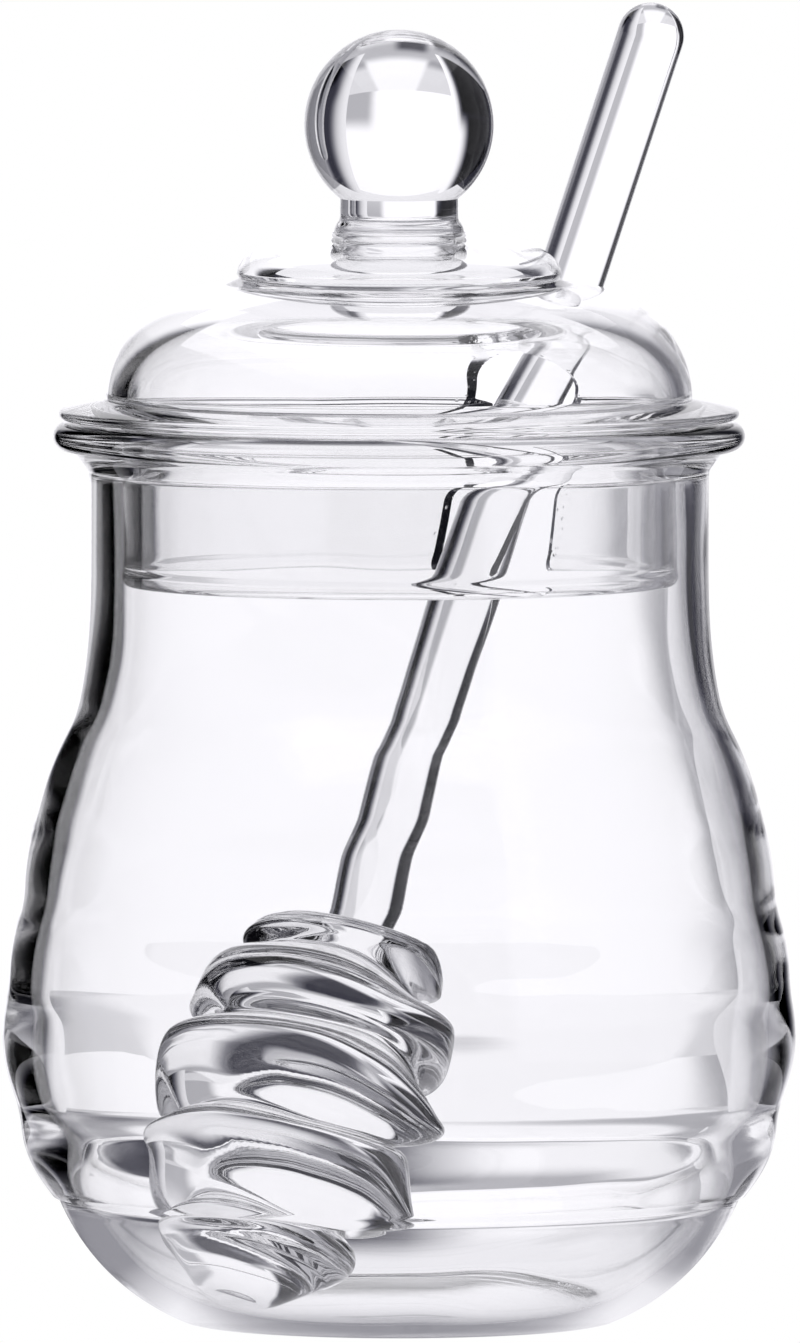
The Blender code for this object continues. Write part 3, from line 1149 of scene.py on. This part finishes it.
    def panel(self, wall: Wall, glow: bpy.types.Material) -> bpy.types.Object:
        """One wall.

        Args:
            wall: Which wall.
            glow: The walls' material.

        Returns:
            The wall, which only the glass sees.
        """
        across, up = self.spans(wall)
        points = [self.place(wall, a, b) for b in up for a in across]
        wide = len(across)
        faces = [
            (row * wide + i, row * wide + i + 1, (row + 1) * wide + i + 1, (row + 1) * wide + i)
            for row in range(len(up) - 1)
            for i in range(wide - 1)
        ]
        mesh = bpy.data.meshes.new(f"light box {wall.value}")
        mesh.from_pydata([[value * MM for value in point] for point in points], [], faces)
        light = mesh.color_attributes.new("light", "FLOAT_COLOR", "POINT")
        places = np.meshgrid(across, up)
        light.data.foreach_set("color", self.colours(wall, *places).astype(np.float32).ravel())
        mesh.materials.append(glow)
        made = placed(f"light_box_{wall.value.replace(' ', '_')}", mesh)
        for kind in ("visible_camera", "visible_diffuse", "visible_shadow"):
            setattr(made, kind, False)
        return made

    def build(self, camera: bpy.types.Object) -> None:
        """Builds the box and keeps its screen behind the jar, as the camera sees it.

        Args:
            camera: The camera that the box turns with.
        """
        stand = placed("light box", None)
        turn = stand.constraints.new("LOCKED_TRACK")
        turn.target = camera
        turn.track_axis = "TRACK_NEGATIVE_Y"
        turn.lock_axis = "LOCK_Z"
        glow = self.glow()
        for wall in Wall:
            self.panel(wall, glow).parent = stand


@dataclass
class Studio:
    """The white studio: a long-lens camera, a white world and a pale floor."""

    distance: float = 3.75
    elevation: float = 3.45
    aim: tuple[float, float, float] = (0.0001, 0.0, 0.07005)
    frame_height: float = 0.1441
    sensor: float = 36.0
    floor_size: float = 12.0
    floor_level: float = -0.0001

    def camera(self) -> bpy.types.Object:
        """The camera at the photo's viewing angle.

        Returns:
            The camera, which the scene now uses.
        """
        data = bpy.data.cameras.new("long lens")
        data.sensor_width = self.sensor
        data.lens = self.sensor * self.distance / self.frame_height
        data.clip_start = 0.1
        data.clip_end = 50.0
        made = placed("long lens", data)
        rise = math.radians(self.elevation)
        back = Vector((0.0, -math.cos(rise), math.sin(rise)))
        made.location = Vector(self.aim) + back * self.distance
        made.rotation_mode = "QUATERNION"
        made.rotation_quaternion = (-back).to_track_quat("-Z", "Y")
        bpy.context.scene.camera = made
        return made

    def world(self) -> bpy.types.World:
        """A plain white world.

        Returns:
            The world, which the scene now uses.
        """
        made = bpy.data.worlds.new("white studio")
        made.use_nodes = True
        made.node_tree.nodes["Background"].inputs["Color"].default_value = WHITE
        bpy.context.scene.world = made
        return made

    def floor(self) -> bpy.types.Object:
        """The plain white table top, which only the camera sees.

        Returns:
            The table top.
        """
        half, level = self.floor_size / 2, self.floor_level
        corners = ((-half, -half), (half, -half), (half, half), (-half, half))
        mesh = bpy.data.meshes.new("table top")
        mesh.from_pydata([(x, y, level) for x, y in corners], [], [(0, 1, 2, 3)])
        mesh.materials.append(glowing("white table top")[0])
        made = placed("table_top", mesh)
        for kind in ("visible_diffuse", "visible_glossy", "visible_transmission", "visible_shadow"):
            setattr(made, kind, False)
        return made

    def look(self) -> None:
        """Plain colours, and enough bounces for rays that cross many glass walls."""
        scene = bpy.context.scene
        scene.view_settings.view_transform = "Standard"
        scene.cycles.max_bounces = 36
        scene.cycles.transmission_bounces = 36
        scene.cycles.glossy_bounces = 16
        scene.cycles.transparent_max_bounces = 16


def main() -> None:
    """Builds the jar, its lid, its dipper and the studio."""
    logging.basicConfig(level=logging.INFO, format="%(name)s: %(message)s")
    studio = Studio()
    camera = studio.camera()
    studio.world()
    studio.floor()
    studio.look()
    LightBox().build(camera)
    effects = GlassEffects()
    pieces = [
        Jar().build(ClearGlass("jar glass", Blowing.BLOWN, effects, 1.0)),
        Lid().build(ClearGlass("lid glass", Blowing.TURNED, effects, 2.0)),
        Dipper().build(ClearGlass("dipper glass", Blowing.DRAWN, effects, 3.0)),
    ]
    for piece in pieces:
        LOG.info("%s: %d faces", piece.name, len(piece.data.polygons))


if __name__ == "__main__":
    main()
